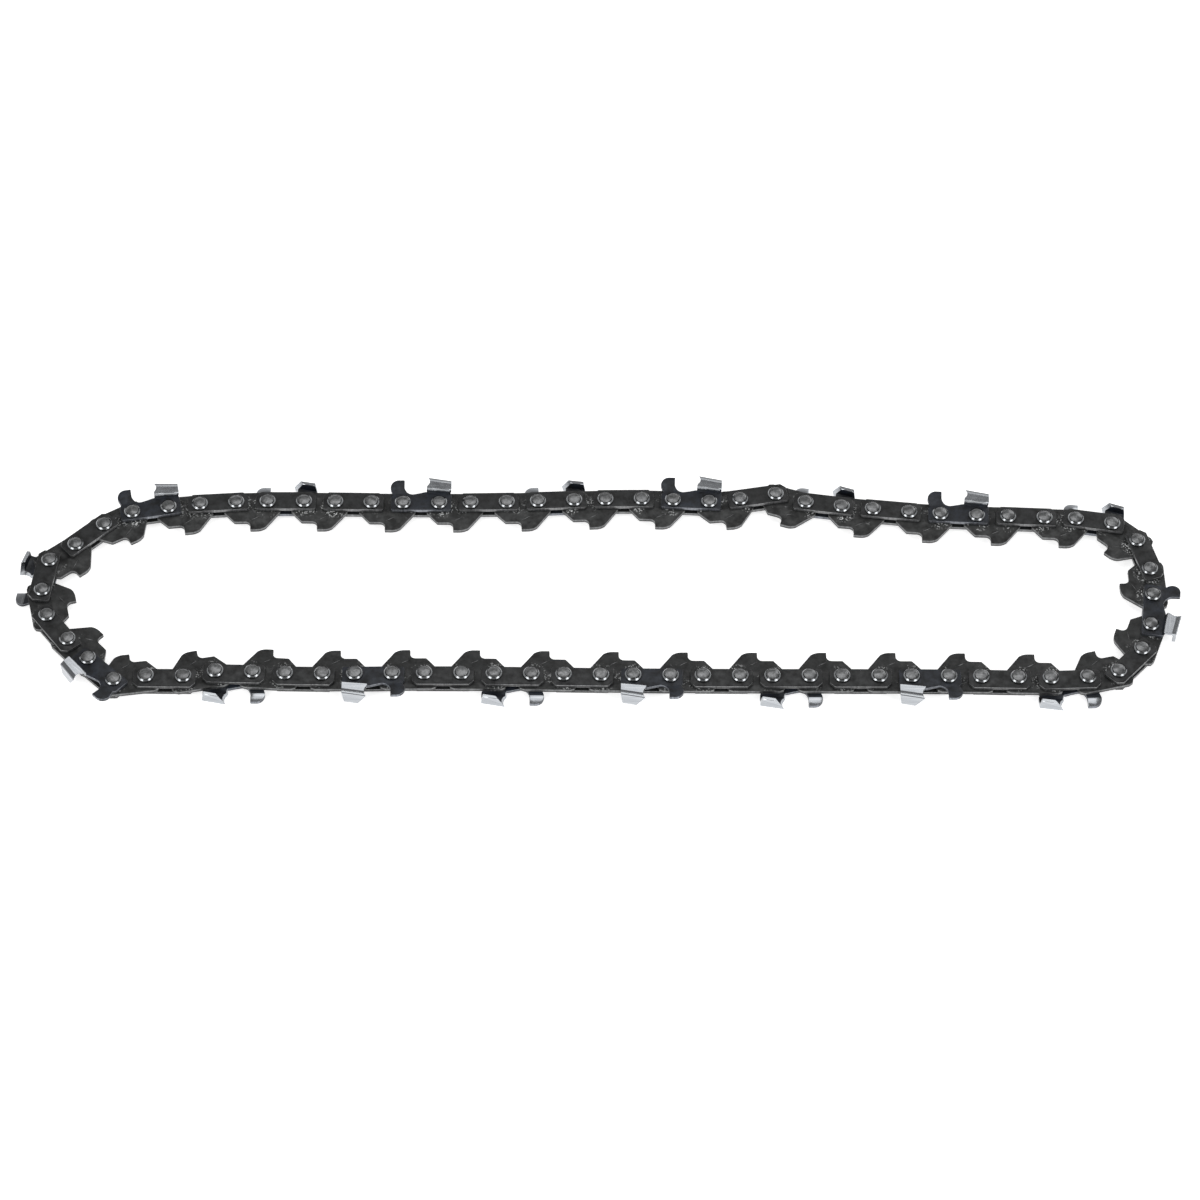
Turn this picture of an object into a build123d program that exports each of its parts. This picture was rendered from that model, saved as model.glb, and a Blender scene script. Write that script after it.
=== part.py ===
from build123d import *
import math
import os

# Sizes of a low profile chain in millimetres, rivet centre to rivet centre along the links
pitches = 36
strap_pitch = 10.02
drive_pitch = 8.62

# Thickness across the chain, and the gaps that let the links swing
drive_thick = 1.3
strap_thick = 1.1
side_play = 0.06
pin_play = 0.08

# Rivets: the pin through the drive link and the spun head outside each strap
pin_radius = 1.7
pin_sides = 6
head_radius = 2.25
head_height = 0.62
head_sides = 8

# Strap outline, measured from the line through its two rivets
strap_outer = 2.85
strap_inner = 2.4
strap_end = 3.05
end_steps = 4

# Drive link outline, with the hooked tang that runs in the bar groove
drive_outer = 2.85
drive_end = 3.44
end_sweep = 8
end_drop = 2.3
tang_depth = 8.5
tang_tip = 1.3
shoulder_depth = 5.8
notch_radius = 1.4
fin_start = 6.1

# Cutter: depth gauge over the front rivet, filed gullet, plate over the rear rivet
gauge_top = 6.95
gauge_radius = 1.75
gauge_nose = 1.5
gauge_rear = 0.5
nose_sweep = 110
gullet_floor = 3.2
gullet_radius = 2.0
plate_front = 3.2
plate_rear = 3.35
plate_top = 7.8
plate_relief = 7
plate_thick = 0.95
plate_flare = 0.9
plate_lip = 0.6
plate_toe = 0.7
corner_bevel = 1.0
filing_angle = 30
file_radius = 2.0
file_height = 6.4
file_sides = 12

# Curves of links that repeat are drawn with this many straight steps
curve_steps = 3

half_strap = strap_pitch / 2
half_drive = drive_pitch / 2
strap_in = drive_thick / 2 + side_play
strap_out = strap_in + strap_thick
plate_out = strap_out + plate_flare
hole_radius = (pin_radius + pin_play) / math.cos(math.pi / pin_sides)

# The loop as it was laid down: the rivet line passes these points, clockwise from the upper left
laid_points = [
    (-129, 25.7), (-111, 28.7), (-64, 30.2), (-18, 31.4), (20, 32.6), (38, 33.2), (47.8, 35.2),
    (56.2, 32.6), (66, 31.3), (84.5, 29.7), (112, 28.7), (131, 28.2), (140.4, 26.9), (147.1, 21.2),
    (150.2, 8), (149.1, -7), (139.1, -22.7), (130.7, -24.7), (112, -25.2), (56, -25.8), (0, -26.5),
    (-56, -27), (-93, -27.2), (-103, -27.2), (-111, -28.9), (-121, -29), (-130, -30.2),
    (-137, -23.5), (-149.2, -9.7), (-151.3, -1.3), (-150.2, 8.8), (-143.7, 14.2),
]
with BuildLine() as laid_line:
    Spline(*laid_points, periodic=True)
course = [laid_line.edges()[0].position_at(step / 4000) for step in range(4001)]
chords = [strap_pitch, drive_pitch] * pitches


def walk(scale):
    # Steps the links along the course; returns the rivets and how far the last runs past the start
    rivets = [course[0]]
    spot = 0.0
    for chord in chords:
        ahead = int(spot) + 1
        while (course[ahead % 4000] - rivets[-1]).length < chord * scale:
            ahead += 1
        near = (course[(ahead - 1) % 4000] - rivets[-1]).length
        far = (course[ahead % 4000] - rivets[-1]).length
        part_way = (chord * scale - near) / (far - near)
        spot = ahead - 1 + part_way
        rivets.append(course[(ahead - 1) % 4000] * (1 - part_way) + course[ahead % 4000] * part_way)
    return rivets[:-1], spot - 4000


low, high = 0.5, 2.0
for _ in range(60):
    middle = (low + high) / 2
    if walk(middle)[1] > 0:
        high = middle
    else:
        low = middle
rivets = [spot / middle for spot in walk(middle)[0]]


def between(first, second):
    # Place of a link on two rivets: local X runs to the rear, local Y away from the bar
    run = rivets[second % len(rivets)] - rivets[first % len(rivets)]
    centre = (rivets[second % len(rivets)] + rivets[first % len(rivets)]) / 2
    return Location((centre.X, centre.Y, 0), (0, 0, math.degrees(math.atan2(run.Y, run.X))))


def stepped(curve, steps):
    # Points along a curve, to draw it with straight steps
    return [curve @ (step / steps) for step in range(steps + 1)]


# Drive link: a flat plate with rounded ends, a shoulder in front and a hooked tang
with BuildSketch() as drive_face:
    with BuildLine():
        back = CenterArc((half_drive, 0), drive_end, 0, end_sweep)
        front = CenterArc((-half_drive, 0), drive_end, 180 - end_sweep, end_sweep)
        corner = half_drive + drive_end / 2
        Polyline(back @ 1, (corner, drive_outer), (-corner, drive_outer), front @ 0)
        slope = Polyline(back @ 0, back @ 0 - (0, end_drop), (drive_end + notch_radius, -fin_start))
        fin = TangentArc(
            slope @ 1, (tang_tip, -tang_depth), tangent=slope % 1, mode=Mode.PRIVATE
        )
        notch = CenterArc(
            (-notch_radius, -shoulder_depth - notch_radius), notch_radius, 0, 90,
            mode=Mode.PRIVATE,
        )
        Polyline(
            *stepped(fin, curve_steps + 1), (0, -tang_depth), *stepped(notch, curve_steps),
            (-half_drive - notch_radius / 3, -shoulder_depth),
            front @ 1 - (0, end_drop), front @ 1,
        )
    make_face()

with BuildPart() as drive_link:
    add(drive_face.sketch)
    extrude(amount=drive_thick / 2, both=True)
    with BuildSketch():
        with Locations((-half_drive, 0), (half_drive, 0)):
            RegularPolygon(hole_radius, pin_sides)
    extrude(amount=drive_thick, both=True, mode=Mode.SUBTRACT)

with BuildPart() as fixed_drive_link:
    add(drive_face.sketch)
    extrude(amount=drive_thick / 2, both=True)
    with BuildSketch():
        with Locations((half_drive, 0)):
            RegularPolygon(hole_radius, pin_sides)
    extrude(amount=drive_thick, both=True, mode=Mode.SUBTRACT)

# Tie strap: straight edges, and ends rounded about the rivets
end_high = math.degrees(math.asin(strap_outer / strap_end))
end_low = math.degrees(math.asin(strap_inner / strap_end))
with BuildLine() as rounded_end:
    CenterArc((half_strap, 0), strap_end, end_high, -end_high - end_low)
rear_end = [(spot.X, spot.Y) for spot in stepped(rounded_end.edges()[0], end_steps)]
front_end = [(-x, y) for x, y in rear_end]
with BuildSketch() as tie_face:
    Polygon(*rear_end, *reversed(front_end), align=None)

with BuildPart() as tie_strap:
    with BuildSketch(Plane.XY.offset(strap_in)):
        add(tie_face.sketch)
    extrude(amount=strap_thick)

# Cutter strap: the tie strap's foot with the depth gauge in front and a square rear end
with BuildSketch() as cutter_face:
    with BuildLine():
        gauge_back = gauge_rear - half_strap
        gullet = CenterArc(
            (gauge_back + gullet_radius, gullet_floor + gullet_radius), gullet_radius, 180, 90,
            mode=Mode.PRIVATE,
        )
        nose = CenterArc(
            (-half_strap - gauge_nose, gauge_top - gauge_radius), gauge_radius, 90, nose_sweep,
            mode=Mode.PRIVATE,
        )
        foot = [*front_end[1:], *reversed(rear_end[end_steps // 2:])]
        Polyline(
            *stepped(gullet, curve_steps), (half_strap + strap_end, gullet_floor),
            *reversed(foot), *reversed(stepped(nose, curve_steps + 1)),
            (gauge_back, gauge_top), gullet @ 0,
        )
    make_face()


# Plate of the cutter: a bent strip that flares out from the strap and folds over the chain
# It falls to the rear, so that only its filed front edge cuts
front_x = half_strap - plate_front
toe_x = front_x - plate_toe
fall = math.radians(plate_relief)
plate_fold = plate_out - corner_bevel
plate_foot = gullet_floor + plate_flare
toe_end = Plane(origin=(toe_x, plate_toe * math.tan(fall), 0), x_dir=(0, 1, 0), z_dir=(1, 0, 0))
with BuildSketch(toe_end) as plate_section:
    Polygon(
        (strap_outer, strap_in), (strap_outer, strap_out), (plate_foot, plate_out),
        (plate_top - corner_bevel, plate_out), (plate_top, plate_fold), (plate_top, -plate_lip),
        (plate_top - plate_thick, -plate_lip),
        (plate_top - plate_thick, plate_fold - plate_thick / 2),
        (plate_top - corner_bevel - plate_thick / 2, plate_out - plate_thick),
        (plate_foot + plate_thick / 2, plate_out - plate_thick),
        align=None,
    )
# The foot of the plate ends in a slanted toe, and a round file hooks the front over it
slant = math.radians(filing_angle)
square_to_file = (math.cos(slant), 0, math.sin(slant))
toe = Plane(origin=(toe_x, 0, plate_out), x_dir=(0, 1, 0), z_dir=square_to_file)
file_end = Plane(
    origin=(front_x, file_height, plate_out), x_dir=square_to_file,
    z_dir=(-math.sin(slant), 0, math.cos(slant)),
)
file_ahead = math.sqrt(file_radius**2 - (plate_top - file_height) ** 2)
with BuildPart() as cutter_plate:
    extrude(
        plate_section.sketch, amount=(plate_toe + plate_front + plate_rear) / math.cos(fall),
        dir=(math.cos(fall), -math.sin(fall), 0),
    )
    split(bisect_by=toe, keep=Keep.TOP)
    with BuildSketch(file_end):
        with Locations((-file_ahead, 0)):
            RegularPolygon(file_radius, file_sides)
    extrude(amount=2 * plate_out, both=True, mode=Mode.SUBTRACT)

with BuildPart() as cutter_strap:
    with BuildSketch(Plane.XY.offset(strap_in)):
        add(cutter_face.sketch)
    extrude(amount=strap_thick)
    add(cutter_plate.part)

# Rivet: a pin through both straps with a domed head spun on each end, drawn with few sides
with BuildPart() as rivet:
    with BuildSketch():
        RegularPolygon(pin_radius, pin_sides)
    extrude(amount=strap_in + strap_thick / 2, both=True)
    with BuildSketch(Plane.XY.offset(strap_out)) as head_foot:
        RegularPolygon(head_radius, head_sides)
    head = loft(sections=[head_foot.sketch.face(), Vertex(0, 0, strap_out + head_height)])
    mirror(head, about=Plane.XY)

# Strap pairs: two rivets hold one strap or cutter fast on each side
rivet_places = [(-half_strap, 0), (half_strap, 0)]
with BuildPart() as tie_pair:
    add(tie_strap.part)
    mirror(tie_strap.part, about=Plane.XY)
    with Locations(*rivet_places):
        add(rivet.part)

with BuildPart() as left_pair:
    add(cutter_strap.part)
    mirror(tie_strap.part, about=Plane.XY)
    with Locations(*rivet_places):
        add(rivet.part)

with BuildPart() as right_pair:
    add(tie_strap.part)
    mirror(cutter_strap.part, about=Plane.XY)
    with Locations(*rivet_places):
        add(rivet.part)

# The loop: left cutter, ties, right cutter, ties, and a drive link behind each pair
# On the two long runs the drive link behind a tie pair is one piece with that pair
pieces = {}
for pair in range(pitches):
    number = f"{pair + 1:02d}"
    on_strap = between(2 * pair, 2 * pair + 1)
    on_drive = between(2 * pair + 1, 2 * pair + 2)
    joined = pair % 2 == 1 and pair % (pitches // 2) < pitches // 3
    with BuildPart() as strap_piece:
        with Locations(on_strap):
            add([left_pair, tie_pair, right_pair, tie_pair][pair % 4].part)
        if joined:
            with Locations(on_drive):
                add(fixed_drive_link.part)
    kind = ["left_cutter", "tie_pair", "right_cutter", "tie_pair"][pair % 4]
    pieces[f"{kind}_{number}"] = strap_piece.part
    if not joined:
        with BuildPart() as drive_piece:
            with Locations(on_drive):
                add(drive_link.part)
        pieces[f"drive_link_{number}"] = drive_piece.part

# The loop stands on its lowest points, with its middle over the origin
box = Compound(list(pieces.values())).bounding_box()
shift = Location((-box.center().X, -box.center().Y, -box.min.Z))
os.makedirs("parts", exist_ok=True)
for name, piece in pieces.items():
    placed = piece.moved(shift)
    placed.label = name
    export_step(placed, f"parts/{name}.step")
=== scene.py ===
import bmesh
import bpy
import math
from mathutils import Matrix, Vector


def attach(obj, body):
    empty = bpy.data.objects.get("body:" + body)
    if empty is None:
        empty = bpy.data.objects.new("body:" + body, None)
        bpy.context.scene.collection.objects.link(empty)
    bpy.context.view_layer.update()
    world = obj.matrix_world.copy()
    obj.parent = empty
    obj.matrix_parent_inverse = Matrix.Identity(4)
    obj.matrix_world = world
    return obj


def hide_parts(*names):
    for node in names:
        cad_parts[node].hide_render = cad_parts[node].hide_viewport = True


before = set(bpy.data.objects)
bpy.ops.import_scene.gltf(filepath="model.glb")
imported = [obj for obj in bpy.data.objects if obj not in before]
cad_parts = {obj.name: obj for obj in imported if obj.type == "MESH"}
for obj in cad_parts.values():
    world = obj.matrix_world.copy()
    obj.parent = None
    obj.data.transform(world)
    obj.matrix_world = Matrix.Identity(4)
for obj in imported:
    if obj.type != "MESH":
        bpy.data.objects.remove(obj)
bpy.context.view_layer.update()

# Drive links
# The middle plates of the chain, blanked from 1.3 mm hardened strip, blackened and oiled.
# Two rivets carry each one, and its hooked tang runs in the groove of the guide bar.
drive_pitch = 8.62
drive_thick = 1.3
drive_outer = 4.1
drive_end = 3.45
drive_corner = 1.6
front_shoulder = 0.8
front_drop = 2.1
ledge_front = 0.25
ledge_depth = 5.8
ledge_corner = 0.5
hook_tip = -0.45
hook_throat = 1.4
tip_corner = 0.15
tang_depth = 8.5
sole_start = 1.3
sole_radius = 4.2
rear_shoulder = 1.2
rear_drop = 2.0
pin_radius = 1.7
pin_play = 0.08
glint_fade = 1.5
mid_height = 2.71
solid_head = 2.43

# Every strap pair shows its two rivets as the peaks of the solid heads
head_top = mid_height + solid_head
pairs = sorted((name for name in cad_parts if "drive" not in name), key=lambda name: name[-2:])
rivets = []
for name in pairs:
    peaks = {
        (round(corner.co.x, 7), round(corner.co.y, 7))
        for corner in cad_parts[name].data.vertices
        if abs(corner.co.z * 1000 - head_top) < 0.002
    }
    rivets.append([Vector((x, y, mid_height / 1000)) for x, y in sorted(peaks)])
for here, ahead in zip(rivets, rivets[1:] + rivets[:1]):
    if min((here[0] - spot).length for spot in ahead) < min((here[1] - spot).length for spot in ahead):
        here.reverse()


def arc(x, y, radius, start, end, steps):
    # Points on an arc in millimetres, angles in degrees
    turns = [math.radians(start + (end - start) * step / steps) for step in range(steps + 1)]
    return [(x + radius * math.cos(turn), y + radius * math.sin(turn)) for turn in turns]


def stamped_plate(name, outlines, low, high, broken_edge, rim, bare_side, shade_split=None):
    # A plate blanked from strip, in millimetres, its sharp edges rounded in two steps by tumbling
    # The rim attribute says how bare and bright the steel is: on the step by the side, and there by its way
    # and spot
    # The blank's own millimetres are kept as the map called laid
    line = bpy.data.curves.new(name, "CURVE")
    line.dimensions = "2D"
    line.fill_mode = "BOTH"
    line.extrude = (high - low) / 2 - broken_edge
    line.bevel_depth = broken_edge
    line.bevel_resolution = 1
    line.offset = -broken_edge
    for points in outlines:
        spline = line.splines.new("POLY")
        spline.points.add(len(points) - 1)
        spline.points.foreach_set("co", [value for x, y in points for value in (x, y, 0, 1)])
        spline.use_cyclic_u = True
    flat = bpy.data.objects.new(name, line)
    mesh = bpy.data.meshes.new_from_object(flat)
    bpy.data.objects.remove(flat)
    mesh.transform(Matrix.Translation((0, 0, (low + high) / 2)))
    shape = bmesh.new()
    shape.from_mesh(mesh)
    bmesh.ops.remove_doubles(shape, verts=shape.verts, dist=0.002)
    bmesh.ops.recalc_face_normals(shape, faces=shape.faces)
    if shade_split is not None:
        # The edge is cut at this height, and the part below it is painted in shade
        bmesh.ops.bisect_plane(
            shape, geom=shape.verts[:] + shape.edges[:] + shape.faces[:], dist=0.001,
            plane_co=(0, 0, shade_split), plane_no=(0, 0, 1),
        )
    bare = shape.faces.layers.float.new("rim")
    laid = shape.loops.layers.uv.new("laid")
    for face in shape.faces:
        slope = abs(face.normal.z)
        if slope > 0.9:
            face[bare] = 0
        elif slope < 0.2:
            face[bare] = bare_side(face.normal, face.calc_center_median())
        else:
            face[bare] = rim
        face.smooth = True
        for corner in face.loops:
            corner[laid].uv = corner.vert.co.xy
    shape.to_mesh(mesh)
    shape.free()
    mesh.set_sharp_from_angle(angle=math.radians(34))
    return mesh


def hex_colour(code):
    # sRGB hex value to linear
    parts = [int(code[spot:spot + 2], 16) / 255 for spot in (1, 3, 5)]
    return [part / 12.92 if part <= 0.04045 else ((part + 0.055) / 1.055) ** 2.4 for part in parts] + [1]


def node(tree, kind, inputs=None, **settings):
    # Adds a node, gives it its settings, and links or fills its inputs
    made = tree.nodes.new(kind)
    for name, value in settings.items():
        setattr(made, name, value)
    for name, value in (inputs or {}).items():
        if isinstance(value, bpy.types.NodeSocket):
            tree.links.new(value, made.inputs[name])
        else:
            made.inputs[name].default_value = value
    return made


def new_finish(name):
    # A new material with its node tree and its shader
    finish = bpy.data.materials.new(name)
    finish.use_nodes = True
    return finish, finish.node_tree, finish.node_tree.nodes["Principled BSDF"]


def noise(tree, place, scale, detail, roughness=0.5):
    # Cloudy noise between 0 and 1, finer with a higher scale
    return node(tree, "ShaderNodeTexNoise", {
        "Vector": place, "Scale": scale, "Detail": detail, "Roughness": roughness,
    }).outputs[0]


def ramp(tree, value, low, high, start=0, end=1):
    # Turns a value between low and high into one between start and end
    return node(tree, "ShaderNodeMapRange", {"Value": value, 1: low, 2: high, 3: start, 4: end}).outputs[0]


def maths(tree, operation, *values):
    # One sum on numbers or sockets
    return node(tree, "ShaderNodeMath", dict(enumerate(values)), operation=operation).outputs[0]


def blend(tree, share, first, second):
    # Mixes two colours, which are hex values or sockets
    first, second = (hex_colour(tone) if isinstance(tone, str) else tone for tone in (first, second))
    return node(tree, "ShaderNodeMix", {0: share, 6: first, 7: second}, data_type="RGBA").outputs[2]


def link_tree(name, plated):
    # Lays a link on its two rivets: the middle of the link between them, its length along them
    tree = bpy.data.node_groups.new(name, "GeometryNodeTree")
    for label, kind in (
        ("Link", "NodeSocketObject"), ("Front rivet", "NodeSocketVector"),
        ("Rear rivet", "NodeSocketVector"), ("Finish", "NodeSocketMaterial"),
        ("Plating", "NodeSocketMaterial"),
    ):
        tree.interface.new_socket(label, in_out="INPUT", socket_type=kind)
    tree.interface.new_socket("Laid link", in_out="OUTPUT", socket_type="NodeSocketGeometry")
    sizes = node(tree, "NodeGroupInput").outputs
    both = node(tree, "ShaderNodeVectorMath", {0: sizes["Front rivet"], 1: sizes["Rear rivet"]})
    middle = node(tree, "ShaderNodeVectorMath", {0: both.outputs[0], "Scale": 0.5}, operation="SCALE")
    run = node(
        tree, "ShaderNodeVectorMath", {0: sizes["Rear rivet"], 1: sizes["Front rivet"]}, operation="SUBTRACT"
    )
    turn = node(
        tree, "FunctionNodeAlignRotationToVector", {"Vector": run.outputs[0]}, axis="X", pivot_axis="Z"
    )
    spot = node(tree, "GeometryNodePoints", {"Count": 1, "Position": middle.outputs[0]})
    link = node(tree, "GeometryNodeObjectInfo", {"Object": sizes["Link"], "As Instance": True})
    laid = node(tree, "GeometryNodeInstanceOnPoints", {
        "Points": spot.outputs[0], "Instance": link.outputs["Geometry"], "Rotation": turn.outputs[0],
    })
    real = node(tree, "GeometryNodeRealizeInstances", {"Geometry": laid.outputs[0]})
    done = node(tree, "GeometryNodeSetMaterial", {"Geometry": real.outputs[0], "Material": sizes["Finish"]})
    if plated:
        where = node(tree, "GeometryNodeInputNamedAttribute", {"Name": "plated"}, data_type="BOOLEAN")
        done = node(tree, "GeometryNodeSetMaterial", {
            "Geometry": done.outputs[0], "Selection": where.outputs[0], "Material": sizes["Plating"],
        })
    node(tree, "NodeGroupOutput", {0: done.outputs[0]})
    return tree


def kept_shape(mesh):
    # A finished shape in metres, ready to be laid many times
    mesh.transform(Matrix.Scale(0.001, 4))
    shape = bpy.data.objects.new(mesh.name, mesh)
    bpy.context.scene.collection.objects.link(shape)
    return shape


def laid_piece(name, tree, sizes):
    # One piece of the chain in its place, as a plain mesh
    piece = bpy.data.objects.new(name, bpy.data.meshes.new(name))
    bpy.context.scene.collection.objects.link(piece)
    nodes = piece.modifiers.new("laid", "NODES")
    nodes.node_group = tree
    for socket in tree.interface.items_tree:
        if socket.in_out == "INPUT" and socket.name in sizes:
            nodes[socket.identifier] = sizes[socket.name]
    bpy.context.view_layer.update()
    made = bpy.data.meshes.new_from_object(piece.evaluated_get(bpy.context.evaluated_depsgraph_get()))
    piece.modifiers.clear()
    piece.data = made
    made.name = name
    return piece


def strip_steel(name, face_dark, face_light, bare, glint_reach=0):
    # Blackened strip steel under an oil film: near black, with a soft uneven sheen
    # Where the blank was sheared the grey steel shows, drawn in fine lines across the thickness
    steel, tree, shader = new_finish(name)
    place = node(tree, "ShaderNodeTexCoord").outputs["Object"]
    # Cloudy patches about 2.3 mm across and scale grain about 0.4 mm, both coarser than in life to show
    patch = ramp(tree, noise(tree, place, 430, 4, 0.6), 0.34, 0.68)
    grain = noise(tree, place, 2400, 2)
    stretched = node(tree, "ShaderNodeMapping", {"Vector": place, "Scale": (1, 1, 0.08)}).outputs[0]
    lines = noise(tree, stretched, 2200, 2)
    rim = node(tree, "ShaderNodeAttribute", attribute_name="rim").outputs["Fac"]
    face = blend(tree, patch, face_dark, face_light)
    edge = blend(tree, lines, "#3c3d3e", bare)
    if glint_reach:
        # Painted glints: where the ends of the straps rub, the sparkle of the oil film is painted as pale
        # flecks about 0.5 mm across, and only in spots about 5 mm apart
        flat = node(tree, "ShaderNodeUVMap", uv_map="laid").outputs[0]
        folded = node(tree, "ShaderNodeVectorMath", {0: flat}, operation="ABSOLUTE").outputs[0]
        away = node(tree, "ShaderNodeVectorMath", {
            0: folded, 1: (drive_pitch / 2, 0, 0),
        }, operation="DISTANCE").outputs["Value"]
        near = ramp(tree, away, glint_reach, glint_reach + glint_fade, 1, 0)
        flecks = ramp(tree, noise(tree, place, 2000, 1), 0.56, 0.62)
        spots = ramp(tree, noise(tree, place, 210, 1), 0.5, 0.62)
        painted_glints = maths(tree, "MULTIPLY", maths(tree, "MULTIPLY", near, flecks), spots)
        face = blend(tree, painted_glints, face, "#c8caca")
    tree.links.new(blend(tree, rim, face, edge), shader.inputs["Base Color"])
    tree.links.new(rim, shader.inputs["Metallic"])
    shader.inputs["Specular IOR Level"].default_value = 0.4
    tree.links.new(ramp(tree, patch, 0, 1, 0.58, 0.34), shader.inputs["Roughness"])
    fine = node(tree, "ShaderNodeBump", {"Height": grain, "Strength": 0.5, "Distance": 0.00006})
    tree.links.new(fine.outputs[0], shader.inputs["Normal"])
    return steel


half_drive = drive_pitch / 2
drive_outline = (
    arc(half_drive + drive_end - drive_corner, drive_outer - drive_corner, drive_corner, 0, 90, 2)
    + arc(-half_drive - drive_end + drive_corner, drive_outer - drive_corner, drive_corner, 90, 180, 2)
    + arc(-half_drive - drive_end + front_shoulder, -front_drop, front_shoulder, 180, 220, 4)
    + arc(-half_drive - ledge_front, ledge_corner - ledge_depth, ledge_corner, 230, 270, 4)
    + arc(hook_tip - hook_throat, -ledge_depth - hook_throat, hook_throat, 90, 0, 8)
    + arc(hook_tip + tip_corner, tip_corner - tang_depth, tip_corner, 180, 270, 3)
    + arc(sole_start, sole_radius - tang_depth, sole_radius, 270, 307, 8)
    + arc(half_drive + drive_end - rear_shoulder, -rear_drop, rear_shoulder, -37, 0, 5)
)
drive_holes = [arc(side * half_drive, 0, pin_radius + pin_play, 360, 0, 24)[:-1] for side in (-1, 1)]


def sheared_edge(way, spot):
    # Painted shade: the lower half of the edge is painted black where it lies in shade, the upper half is
    # bright bare steel
    return 1 if spot.z > 0 else 0.2


drive_mesh = stamped_plate(
    "drive_link", [drive_outline] + drive_holes, -drive_thick / 2, drive_thick / 2,
    broken_edge=0.14, rim=0.5, bare_side=sheared_edge, shade_split=0,
)

# A low crease left by the press runs on both faces from the root of the hook up to the rear
crease_start = Vector((-0.6, -5.5, 0))
crease_end = Vector((2.3, -3.9, 0))
crease_half = Vector((-0.05, 0.09, 0))
crease_height = 0.06
crease_middle = crease_start.lerp(crease_end, 0.5)
crease_sunk = 0.99
creased = bmesh.new()
creased.from_mesh(drive_mesh)
bare = creased.faces.layers.float["rim"]
for side in (-1, 1):
    up = Vector((0, 0, side * drive_thick / 2))
    ridge = [
        creased.verts.new(crease_start.lerp(crease_end, share) + up * (1 + 2 * crease_height / drive_thick))
        for share in (0.1, 0.9)
    ]
    base = [
        creased.verts.new(spot + up * crease_sunk)
        for spot in (crease_start, crease_middle + crease_half, crease_end, crease_middle - crease_half)
    ]
    for corners in (
        (base[0], base[1], ridge[0]), (base[1], ridge[1], ridge[0]), (base[1], base[2], ridge[1]),
        (base[2], base[3], ridge[1]), (base[3], ridge[0], ridge[1]), (base[3], base[0], ridge[0]),
        tuple(reversed(base)),
    ):
        creased.faces.new(corners if side < 0 else tuple(reversed(corners)))[bare] = 1
creased.to_mesh(drive_mesh)
creased.free()
drive_shape = kept_shape(drive_mesh)
plain_link = link_tree("link_on_two_rivets", False)
drive_steel = strip_steel("oiled_black_strip_steel", "#0b0c0c", "#323333", "#9a9b9c", glint_reach=3.3)

# A drive link without a node of its own rides on the strap pair in front of it
for spot, (here, ahead) in enumerate(zip(rivets, rivets[1:] + rivets[:1])):
    number = f"{spot + 1:02d}"
    body = f"drive_link_{number}" if f"drive_link_{number}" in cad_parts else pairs[spot]
    piece = laid_piece(f"drive_plate_{number}", plain_link, {
        "Link": drive_shape, "Front rivet": here[1], "Rear rivet": ahead[0], "Finish": drive_steel,
    })
    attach(piece, body)
    if body.startswith("drive"):
        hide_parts(body)
bpy.data.objects.remove(drive_shape)

# Tie straps
# Plain side plates of the same blackened strip, 1.1 mm thick, with ends cut square and bevelled outside.
# Two of them, or one and a cutter, are held fast on their rivets, one on each side of the drive links.
strap_pitch = 10.02
strap_in = 0.71
strap_out = 1.81
strap_outer = 3.45
strap_inner = 2.4
strap_end = 3.3
end_bevel = 1.35
end_corner = 0.6

half_strap = strap_pitch / 2
end_x = half_strap + strap_end
end_foot = arc(end_x - end_corner, end_corner - strap_inner, end_corner, -90, 0, 4)
rear_end = end_foot + [(end_x, strap_outer - end_bevel), (end_x - end_bevel, strap_outer)]
front_end = [(-x, y) for x, y in reversed(rear_end)]


def worn_inner_edge(way, spot):
    # The edge that slides on the guide bar is rubbed bright, the others stay black
    return 0.7 if way.y < -0.9 else 0.12


near_strap, far_strap = (
    stamped_plate(
        name, [rear_end + front_end], low, high, broken_edge=0.2, rim=1, bare_side=worn_inner_edge
    )
    for name, low, high in (("near_strap", strap_in, strap_out), ("far_strap", -strap_out, -strap_in))
)
both_straps = bmesh.new()
both_straps.from_mesh(near_strap)
both_straps.from_mesh(far_strap)
strap_pair = bpy.data.meshes.new("strap_pair")
both_straps.to_mesh(strap_pair)
both_straps.free()
straps = {"tie": kept_shape(strap_pair), "left": kept_shape(far_strap), "right": kept_shape(near_strap)}
strap_steel = strip_steel("oiled_black_strap_steel", "#0b0c0c", "#2e2f30", "#b8b9ba")
for name, (front, rear) in zip(pairs, rivets):
    piece = laid_piece(f"straps_{name[-2:]}", plain_link, {
        "Link": straps[name.split("_")[0]], "Front rivet": front, "Rear rivet": rear, "Finish": strap_steel,
    })
    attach(piece, name)
    if name.startswith("tie"):
        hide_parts(name)
for shape in straps.values():
    bpy.data.objects.remove(shape)

# Cutters
# One side plate in four is a cutter, blanked and bent from blued steel, with hard chrome on its outside.
# A depth gauge stands over the front rivet, and a round file has cut the gullet behind it.
# The bent cutting plate is set out over the rear rivet.
rear_corner = 0.4
toe_top = 3.9
gullet_floor = 3.05
gullet_radius = 2.4
gauge_top = 7.4
gauge_rear = 0.37
gauge_corner = 0.15
gauge_step = 0.35
gauge_lean = 0.36
step_start = 3.3
step_end = 4.9
nose_back = 1.2
nose_radius = 2.3
neck_front = 2.75
neck_height = 2.9
plate_front = 3.5
plate_rear = 3.35

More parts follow.
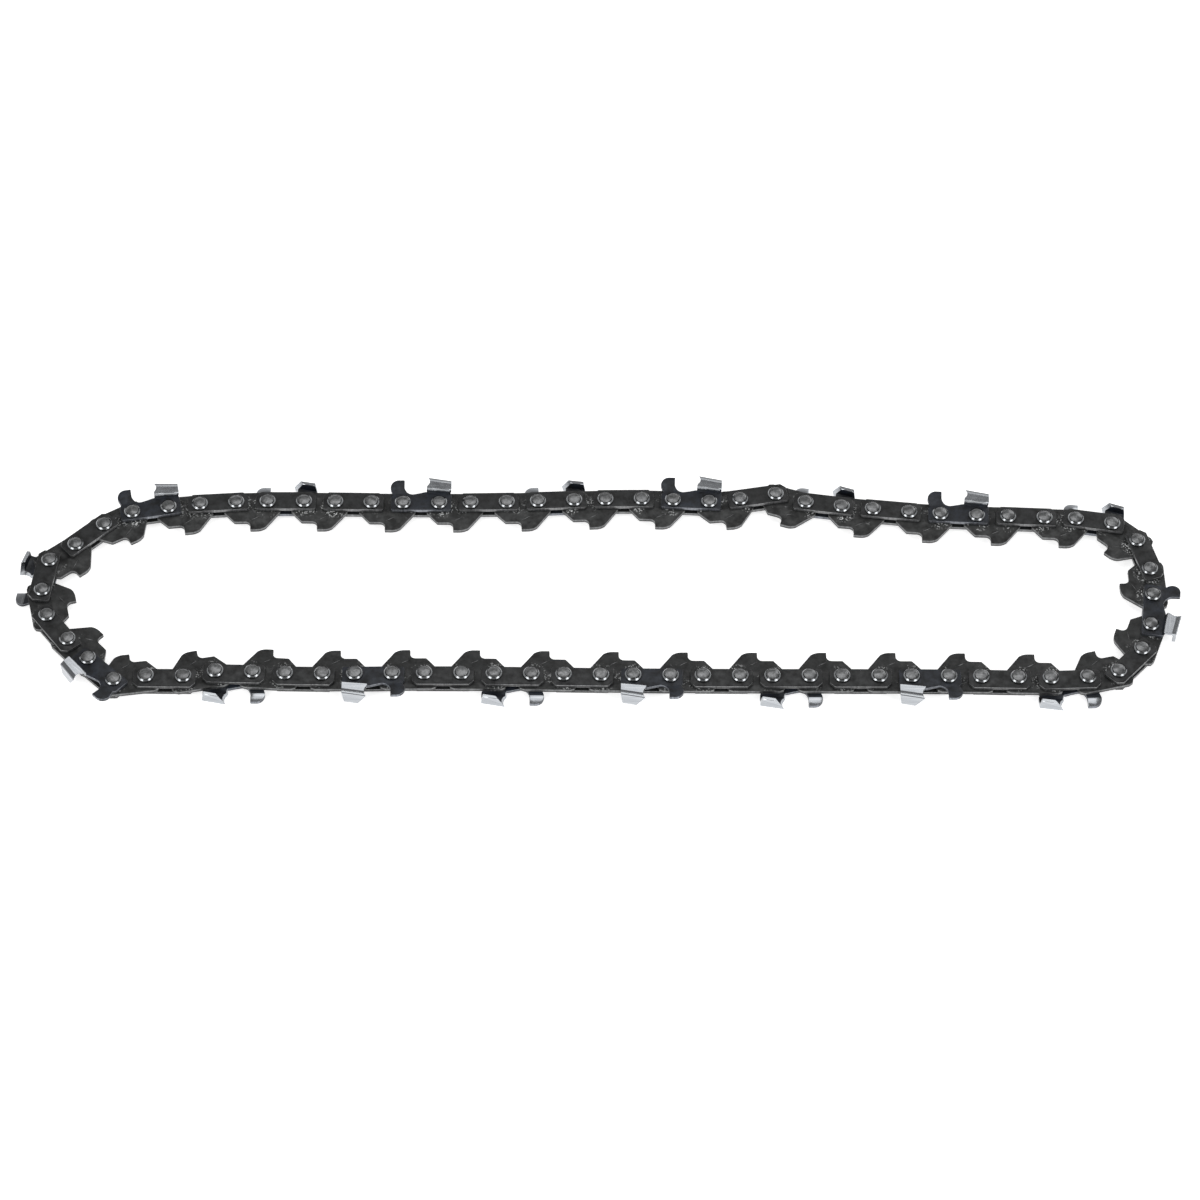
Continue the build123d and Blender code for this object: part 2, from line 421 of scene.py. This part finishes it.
front_x = half_strap - plate_front
rear_x = half_strap + plate_rear
gauge_x = gauge_rear - half_strap
toe = [(front_x + 0.3, toe_top), (front_x - 0.5, toe_top - 0.05), (front_x - 1.9, gullet_floor + 0.4)]
cutter_outline = (
    end_foot
    + arc(end_x - rear_corner, strap_outer - rear_corner, rear_corner, 0, 90, 4)
    + toe
    + arc(gauge_x + gullet_radius, gullet_floor + gullet_radius, gullet_radius, 270, 180, 12)
    + arc(gauge_x - gauge_corner, gauge_top - gauge_corner, gauge_corner, 0, 90, 3)
    + arc(-half_strap - nose_back, gauge_top - nose_radius, nose_radius, 90, 195, 12)
    + [(-half_strap - neck_front, neck_height), (-end_x, strap_outer - end_bevel)]
    + [(-x, y) for x, y in reversed(end_foot)]
)


def ground_edges(way, spot):
    # The gauge is ground bright on top, the gullet is filed, and the foot is rubbed by the bar
    if way.y < -0.9:
        return 0.85
    if way.y > 0.9 and spot.y > gauge_top - 0.4:
        return 1
    return 0.5 if way.y > 0.1 and abs(spot.x) < half_strap - gauge_rear else 0.15


gauge_plate = stamped_plate(
    "cutter_foot", [cutter_outline], strap_in, strap_out,
    broken_edge=0.18, rim=0.9, bare_side=ground_edges,
)


def between(value, low, high):
    # How far a value lies from low to high, from 0 to 1
    return min(max((value - low) / (high - low), 0), 1)


# The gauge, up to 1 mm behind the front rivet, is set out by a step over the strap and leans on
# Its inner face is as bright as the plating
gauge_end = 1 - half_strap
foot = bmesh.new()
foot.from_mesh(gauge_plate)
for height in (step_start, step_end):
    bmesh.ops.bisect_plane(
        foot, geom=foot.verts[:] + foot.edges[:] + foot.faces[:], dist=0.001,
        plane_co=(0, height, 0), plane_no=(0, 1, 0),
    )
for corner in foot.verts:
    if corner.co.x < gauge_end:
        corner.co.z += gauge_step * between(corner.co.y, step_start, step_end)
        corner.co.z += gauge_lean * between(corner.co.y, step_end, gauge_top)
plated = foot.faces.layers.bool.new("plated")
for face in foot.faces:
    middle = face.calc_center_median()
    face[plated] = face.normal.z < -0.5 and middle.y > step_end and middle.x < gauge_end
foot.to_mesh(gauge_plate)
foot.free()


# The cutting plate, whose top falls away to the rear more than its foot does
plate_root = 2.35
plate_top = 8.1
plate_thick = 0.95
plate_lip = 1.1
left_out = 3.3
right_out = 2.7
set_length = 0.75
outer_set = 3.5
inner_set = 3.85
crease_low = 6.72
crease_high = 6.88
fold_depth = 0.51
sunk_in = 0.02
foot_fall = 5
plate_fall = 10
fall_low = 3.6
fall_high = 7
file_radius = 2.0
file_height = 6.5
filing_slope = math.tan(math.radians(30))
slant_low = 3.9
slant_high = 5.1
rear_step = 0.65
rear_slant = 0.5
rear_high = 4.3
rear_low = 3.8


def filed_front(y, z, out):
    # Where the round file left the front of the plate, hooked under the cutting corner
    rise = min(max(y - file_height, -0.8 * file_radius), file_radius)
    corner = math.sqrt(file_radius ** 2 - (plate_top - file_height) ** 2)
    hook = math.sqrt(file_radius ** 2 - rise ** 2) - corner
    return front_x + hook + (out - z) * filing_slope * between(y, slant_low, slant_high)


def sheared_rear(y, z, out):
    # The rear end steps in below the side and slants across the top
    stepped = rear_x - rear_step * between(y, rear_high, rear_low)
    return stepped - rear_slant * between(z, out - fold_depth, -plate_lip)


def joggle(start, low, high):
    # The step that sets the side of the plate out from the strap
    steps = ((0, 0), (0.15, 0.08), (0.5, 0.5), (0.85, 0.92), (1, 1))
    return [(start + set_length * along, low + (high - low) * up) for along, up in steps]


def bent_plate(name, out):
    # The section of the plate, outside and inside, as height over the rivets and place across the chain
    # Its rows up the side carry the arc of the file, and two creases mark the fold at the top
    inside = out - plate_thick
    fold = out - fold_depth
    low_side = plate_top - plate_thick
    outer = [(plate_root, strap_out - sunk_in)] + joggle(outer_set, strap_out - sunk_in, out)
    outer += [(y, out) for y in (4.6, 5.1, 5.6, 6.1, 6.5)]
    outer += [(crease_low, out), (crease_high, out - 0.11)]
    outer += [(plate_top - 0.22, out - 0.28), (plate_top, fold)]
    outer += [(plate_top, z) for z in (1.6, 0.8, 0, -plate_lip)]
    inner = [(plate_root, strap_in + sunk_in)] + joggle(inner_set, strap_in + sunk_in, inside)
    inner += [(y, inside) for y in (4.9, 5.2, 5.5, 5.9, 6.15)]
    inner += [(6.25, inside - 0.02), (6.35, inside - 0.06)]
    inner += [(low_side - 0.06, fold - 0.75), (low_side, fold - 0.87)]
    inner += [(low_side, z) for z in (1.0, 0.4, -0.2, -plate_lip)]
    bent = bmesh.new()
    rows = {}
    for side, line in (("outer", outer), ("inner", inner)):
        for end, reach in (("front", filed_front), ("rear", sheared_rear)):
            for spot, (y, z) in enumerate(line):
                x = reach(y, z, out)
                fall = foot_fall + (plate_fall - foot_fall) * between(y, fall_low, fall_high)
                drop = (x - front_x) * math.tan(math.radians(fall))
                rows[side, end, spot] = bent.verts.new((x, y - drop, z))
    for spot in range(len(outer) - 1):
        for one, two in (
            (("outer", "front"), ("outer", "rear")), (("outer", "rear"), ("inner", "rear")),
            (("inner", "rear"), ("inner", "front")), (("inner", "front"), ("outer", "front")),
        ):
            bent.faces.new([rows[*one, spot], rows[*two, spot], rows[*two, spot + 1], rows[*one, spot + 1]])
    for spot in (0, len(outer) - 1):
        bent.faces.new([rows[side, end, spot] for side, end in (
            ("outer", "front"), ("outer", "rear"), ("inner", "rear"), ("inner", "front"),
        )])
    bmesh.ops.recalc_face_normals(bent, faces=bent.faces)
    # The plating covers the outside from halfway up the step, the ends and the lip
    plated = bent.faces.layers.bool.new("plated")
    bare = bent.faces.layers.float.new("rim")
    laid = bent.loops.layers.uv.new("laid")
    outside = {rows[side, end, spot] for side, end, spot in rows if side == "outer" and spot > 2}
    tip = {rows[side, end, len(outer) - 1] for side in ("outer", "inner") for end in ("front", "rear")}
    for face in bent.faces:
        corners = set(face.verts)
        end_face = abs(face.normal.x) > 0.5 and face.calc_center_median().y > fall_low
        face[plated] = corners <= outside or corners <= tip or end_face
        face[bare] = 0
        face.smooth = True
        for corner in face.loops:
            corner[laid].uv = (corner.vert.co.x, corner.vert.co.y - corner.vert.co.z)
    mesh = bpy.data.meshes.new(name)
    bent.to_mesh(mesh)
    bent.free()
    mesh.set_sharp_from_angle(angle=math.radians(30))
    rough_plate = bpy.data.objects.new(name, mesh)
    bpy.context.scene.collection.objects.link(rough_plate)
    broken = rough_plate.modifiers.new("broken_edges", "BEVEL")
    broken.width = 0.07
    broken.segments = 1
    broken.limit_method = "ANGLE"
    broken.angle_limit = math.radians(40)
    bpy.context.view_layer.update()
    finished = rough_plate.evaluated_get(bpy.context.evaluated_depsgraph_get())
    mesh = bpy.data.meshes.new_from_object(finished)
    bpy.data.objects.remove(rough_plate)
    return mesh


# The right-hand plates point down and rest on the floor, so they are set out less
cutter_shapes = {}
for hand, mirror, out in (("left", 1, left_out), ("right", -1, right_out)):
    whole = bmesh.new()
    whole.from_mesh(gauge_plate)
    whole.from_mesh(bent_plate(f"{hand}_plate", out))
    bmesh.ops.scale(whole, vec=(1, 1, mirror), verts=whole.verts)
    if mirror < 0:
        bmesh.ops.reverse_faces(whole, faces=whole.faces)
    mesh = bpy.data.meshes.new(f"{hand}_cutter")
    whole.to_mesh(mesh)
    whole.free()
    cutter_shapes[hand] = kept_shape(mesh)

# Hard chrome on a bent and ground plate: cold grey, with lines along the strip about 0.6 mm apart,
# coarser than in life to show, and a gloss that changes over about 2 mm
chrome, tree, shader = new_finish("hard_chrome_plating")
place = node(tree, "ShaderNodeTexCoord").outputs["Object"]
flat = node(tree, "ShaderNodeUVMap", uv_map="laid").outputs[0]
drawn = node(tree, "ShaderNodeMapping", {"Vector": flat, "Scale": (0.05, 1, 1)}).outputs[0]
streak = ramp(tree, noise(tree, drawn, 1.7, 2), 0.3, 0.7)
tree.links.new(blend(tree, streak, "#9c9fa4", "#babdc0"), shader.inputs["Base Color"])
shader.inputs["Metallic"].default_value = 1
rough = ramp(tree, noise(tree, place, 500, 2), 0.3, 0.7, 0.15, 0.21)
tree.links.new(rough, shader.inputs["Roughness"])
fine = node(tree, "ShaderNodeBump", {"Height": streak, "Strength": 0.15, "Distance": 0.00002})
tree.links.new(fine.outputs[0], shader.inputs["Normal"])

plated_link = link_tree("plated_link_on_two_rivets", True)
blued_steel = strip_steel("oiled_blued_cutter_steel", "#0a0c10", "#242932", "#b0b4bc")
for name, (front, rear) in zip(pairs, rivets):
    hand = name.split("_")[0]
    if hand in cutter_shapes:
        piece = laid_piece(f"cutter_{name[-2:]}", plated_link, {
            "Link": cutter_shapes[hand], "Front rivet": front, "Rear rivet": rear,
            "Finish": blued_steel, "Plating": chrome,
        })
        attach(piece, name)
        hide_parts(name)
for shape in cutter_shapes.values():
    bpy.data.objects.remove(shape)

# Rivets
# Hardened pins through the straps and drive links, with both ends spun over into heads with a domed crown.
# The spinning tool leaves a smooth bright shoulder and a matt crown, and the lower heads are set flatter.
head_radius = 2.22
groove_radius = 1.79
head_sides = 18
lower_share = 0.7

# Half a head: its side, its shoulder, the groove that the tool leaves, and the domed crown, over the strap
head = [
    (head_radius, -0.01), (head_radius, 0.56), (1.9, 0.92), (1.84, 0.97),
    (groove_radius, 0.95), (1.72, 1.0), (1.3, 1.14), (0.7, 1.23), (0, 1.26),
]
profile = [(radius, -strap_out - lower_share * height) for radius, height in reversed(head)]
profile += [(pin_radius, -strap_in), (pin_radius, strap_in)]
profile += [(radius, strap_out + height) for radius, height in head]
spun = bmesh.new()
turns = [2 * math.pi * side / head_sides for side in range(head_sides)]
rings = [
    [spun.verts.new((radius * math.cos(turn), radius * math.sin(turn), height)) for turn in turns]
    for radius, height in profile[1:-1]
]
for below, above in zip(rings, rings[1:]):
    for side in range(head_sides):
        spun.faces.new([below[side], below[side - 1], above[side - 1], above[side]])
for ring, (_, height) in ((rings[0], profile[0]), (rings[-1], profile[-1])):
    peak = spun.verts.new((0, 0, height))
    for side in range(head_sides):
        spun.faces.new([ring[side], ring[side - 1], peak])
bmesh.ops.recalc_face_normals(spun, faces=spun.faces)
spin = spun.loops.layers.uv.new("spin")
for face in spun.faces:
    face.smooth = True
    for corner in face.loops:
        corner[spin].uv = corner.vert.co.xy
rivet_mesh = bpy.data.meshes.new("rivet")
spun.to_mesh(rivet_mesh)
spun.free()
rivet_mesh.set_sharp_from_angle(angle=math.radians(28))
rivet_shape = kept_shape(rivet_mesh)

# Both rivets of a pair come from one tree, a point on each, and every head is turned its own way
full_turn = 6.28
tree = bpy.data.node_groups.new("rivets_of_a_pair", "GeometryNodeTree")
for label, kind in (
    ("Rivet", "NodeSocketObject"), ("Front rivet", "NodeSocketVector"),
    ("Rear rivet", "NodeSocketVector"), ("Finish", "NodeSocketMaterial"),
):
    tree.interface.new_socket(label, in_out="INPUT", socket_type=kind)
tree.interface.new_socket("Rivets", in_out="OUTPUT", socket_type="NodeSocketGeometry")
sizes = node(tree, "NodeGroupInput").outputs
count = node(tree, "GeometryNodeInputIndex")
spot = node(tree, "ShaderNodeMix", {
    0: count.outputs[0], 4: sizes["Front rivet"], 5: sizes["Rear rivet"],
}, data_type="VECTOR")
spots = node(tree, "GeometryNodePoints", {"Count": 2, "Position": spot.outputs[1]})
one = node(tree, "GeometryNodeObjectInfo", {"Object": sizes["Rivet"], "As Instance": True})
turned = node(tree, "FunctionNodeRandomValue", {
    0: (0, 0, 0), 1: (0, 0, full_turn), "Seed": 4,
}, data_type="FLOAT_VECTOR")
set_in = node(tree, "GeometryNodeInstanceOnPoints", {
    "Points": spots.outputs[0], "Instance": one.outputs["Geometry"], "Rotation": turned.outputs[0],
})
real = node(tree, "GeometryNodeRealizeInstances", {"Geometry": set_in.outputs[0]})
done = node(tree, "GeometryNodeSetMaterial", {"Geometry": real.outputs[0], "Material": sizes["Finish"]})
node(tree, "NodeGroupOutput", {0: done.outputs[0]})
rivet_tree = tree

# Spun rivet steel: bare grey steel, bright on the shoulder, matt and mottled on the crown, with rings
crown_edge = 1.66
crown_blend = 0.1
ring_gap = 0.3
spun_steel, tree, shader = new_finish("spun_rivet_steel")
place = node(tree, "ShaderNodeTexCoord").outputs["Object"]
flat = node(tree, "ShaderNodeUVMap", uv_map="spin").outputs[0]
away = node(tree, "ShaderNodeVectorMath", {0: flat}, operation="LENGTH").outputs["Value"]
crown = ramp(tree, away, crown_edge, crown_edge + crown_blend, 1, 0)
mottle = noise(tree, place, 1600, 4)
ripples = maths(tree, "SINE", maths(tree, "MULTIPLY", away, 2 * math.pi / ring_gap))
steel = blend(tree, crown, "#808284", blend(tree, mottle, "#3a3b3c", "#a0a1a2"))
# Painted shade: a black line about 0.2 mm wide round the crown, where the groove lies in shade
from_groove = maths(tree, "ABSOLUTE", maths(tree, "SUBTRACT", away, groove_radius))
groove_shade = ramp(tree, from_groove, 0.03, 0.1, 1, 0)
tree.links.new(blend(tree, groove_shade, steel, "#161616"), shader.inputs["Base Color"])
shader.inputs["Metallic"].default_value = 1
tree.links.new(ramp(tree, crown, 0, 1, 0.2, 0.3), shader.inputs["Roughness"])
uneven = maths(tree, "MULTIPLY_ADD", ripples, 0.25, mottle)
fine = node(tree, "ShaderNodeBump", {"Height": uneven, "Strength": 0.35, "Distance": 0.00006})
# The spinning leaves the crowns uneven over about 4 mm, so each one catches the light differently
lean = maths(tree, "MULTIPLY", noise(tree, place, 250, 0), crown)
tilted = node(tree, "ShaderNodeBump", {
    "Height": lean, "Strength": 1, "Distance": 0.0005, "Normal": fine.outputs[0],
})
tree.links.new(tilted.outputs[0], shader.inputs["Normal"])
for name, (front, rear) in zip(pairs, rivets):
    piece = laid_piece(f"rivets_{name[-2:]}", rivet_tree, {
        "Rivet": rivet_shape, "Front rivet": front, "Rear rivet": rear, "Finish": spun_steel,
    })
    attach(piece, name)
bpy.data.objects.remove(rivet_shape)

# Floor, light and camera
# The chain lies on white paper in soft light, with a box lamp at each side in front and two panels behind.
# The camera looks down at 54 degrees from about 1.1 m, as the photo does.
floor_reach = 3
floor_glow = 0.65
horizon_light = 0.95
overhead_light = 0.24
floor_mesh = bpy.data.meshes.new("floor")
floor_corners = [(x * floor_reach, y * floor_reach, 0) for x, y in ((-1, -1), (1, -1), (1, 1), (-1, 1))]
floor_mesh.from_pydata(floor_corners, [], [(0, 1, 2, 3)])
floor = bpy.data.objects.new("floor", floor_mesh)
bpy.context.scene.collection.objects.link(floor)
paper, tree, shader = new_finish("white_paper_sweep")
shader.inputs["Base Color"].default_value = hex_colour("#f4f4f4")
shader.inputs["Roughness"].default_value = 0.9
shader.inputs["Specular IOR Level"].default_value = 0.1
shader.inputs["Emission Color"].default_value = (1, 1, 1, 1)
rays = node(tree, "ShaderNodeLightPath").outputs
seen = maths(tree, "MAXIMUM", rays["Is Camera Ray"], rays["Is Glossy Ray"])
tree.links.new(maths(tree, "MULTIPLY", seen, floor_glow), shader.inputs["Emission Strength"])
floor_mesh.materials.append(paper)

world = bpy.data.worlds.new("studio")
world.use_nodes = True
bpy.context.scene.world = world
tree = world.node_tree
sky = tree.nodes["Background"]
# The sky is light at the horizon and dim above, and white where the camera sees it
rays = node(tree, "ShaderNodeLightPath").outputs
way = node(tree, "ShaderNodeTexCoord").outputs["Generated"]
height = node(tree, "ShaderNodeSeparateXYZ", {0: way}).outputs["Z"]
level = node(tree, "ShaderNodeMapRange", {
    "Value": height, 1: 0.15, 2: 0.6, 3: horizon_light, 4: overhead_light,
}, interpolation_type="SMOOTHSTEP").outputs[0]
bright = maths(tree, "MAXIMUM", level, rays["Is Camera Ray"])
sky.inputs["Color"].default_value = (1, 1, 1, 1)
tree.links.new(bright, sky.inputs["Strength"])

for name, place, width, height, power in (
    ("left_box", (-0.85, -0.72, 0.66), 0.6, 0.6, 5.7),
    ("right_box", (0.85, -0.72, 0.66), 0.6, 0.6, 5.7),
    ("back_panel", (0.5, 0.62, 0.42), 0.4, 0.3, 0.6),
    ("low_panel", (0, 0.145, 0.45), 0.5, 0.3, 0.65),
):
    lamp = bpy.data.lights.new(name, "AREA")
    lamp.shape = "RECTANGLE"
    lamp.size = width
    lamp.size_y = height
    lamp.energy = power
    box = bpy.data.objects.new(name, lamp)
    box.location = place
    box.rotation_mode = "QUATERNION"
    box.rotation_quaternion = (-Vector(place)).to_track_quat("-Z", "Y")
    box.visible_camera = False
    bpy.context.scene.collection.objects.link(box)

elevation = math.radians(54.1)
roll = math.radians(0.871)
distance = 1.0889
aim = Vector((0.00051, -0.00143, 0.0051))
photo_pixels = 1200
focal_pixels = 4012.9
shift_pixels = -7
lens = bpy.data.cameras.new("camera")
lens.sensor_width = 36
lens.lens = lens.sensor_width * focal_pixels / photo_pixels
lens.shift_y = shift_pixels / photo_pixels
camera = bpy.data.objects.new("camera", lens)
camera.location = aim + distance * Vector((0, -math.cos(elevation), math.sin(elevation)))
camera.rotation_mode = "QUATERNION"
level_view = (aim - camera.location).to_track_quat("-Z", "Y")
camera.rotation_quaternion = level_view @ Matrix.Rotation(roll, 3, "Z").to_quaternion()
bpy.context.scene.collection.objects.link(camera)
bpy.context.scene.camera = camera
bpy.context.scene.view_settings.view_transform = "Standard"
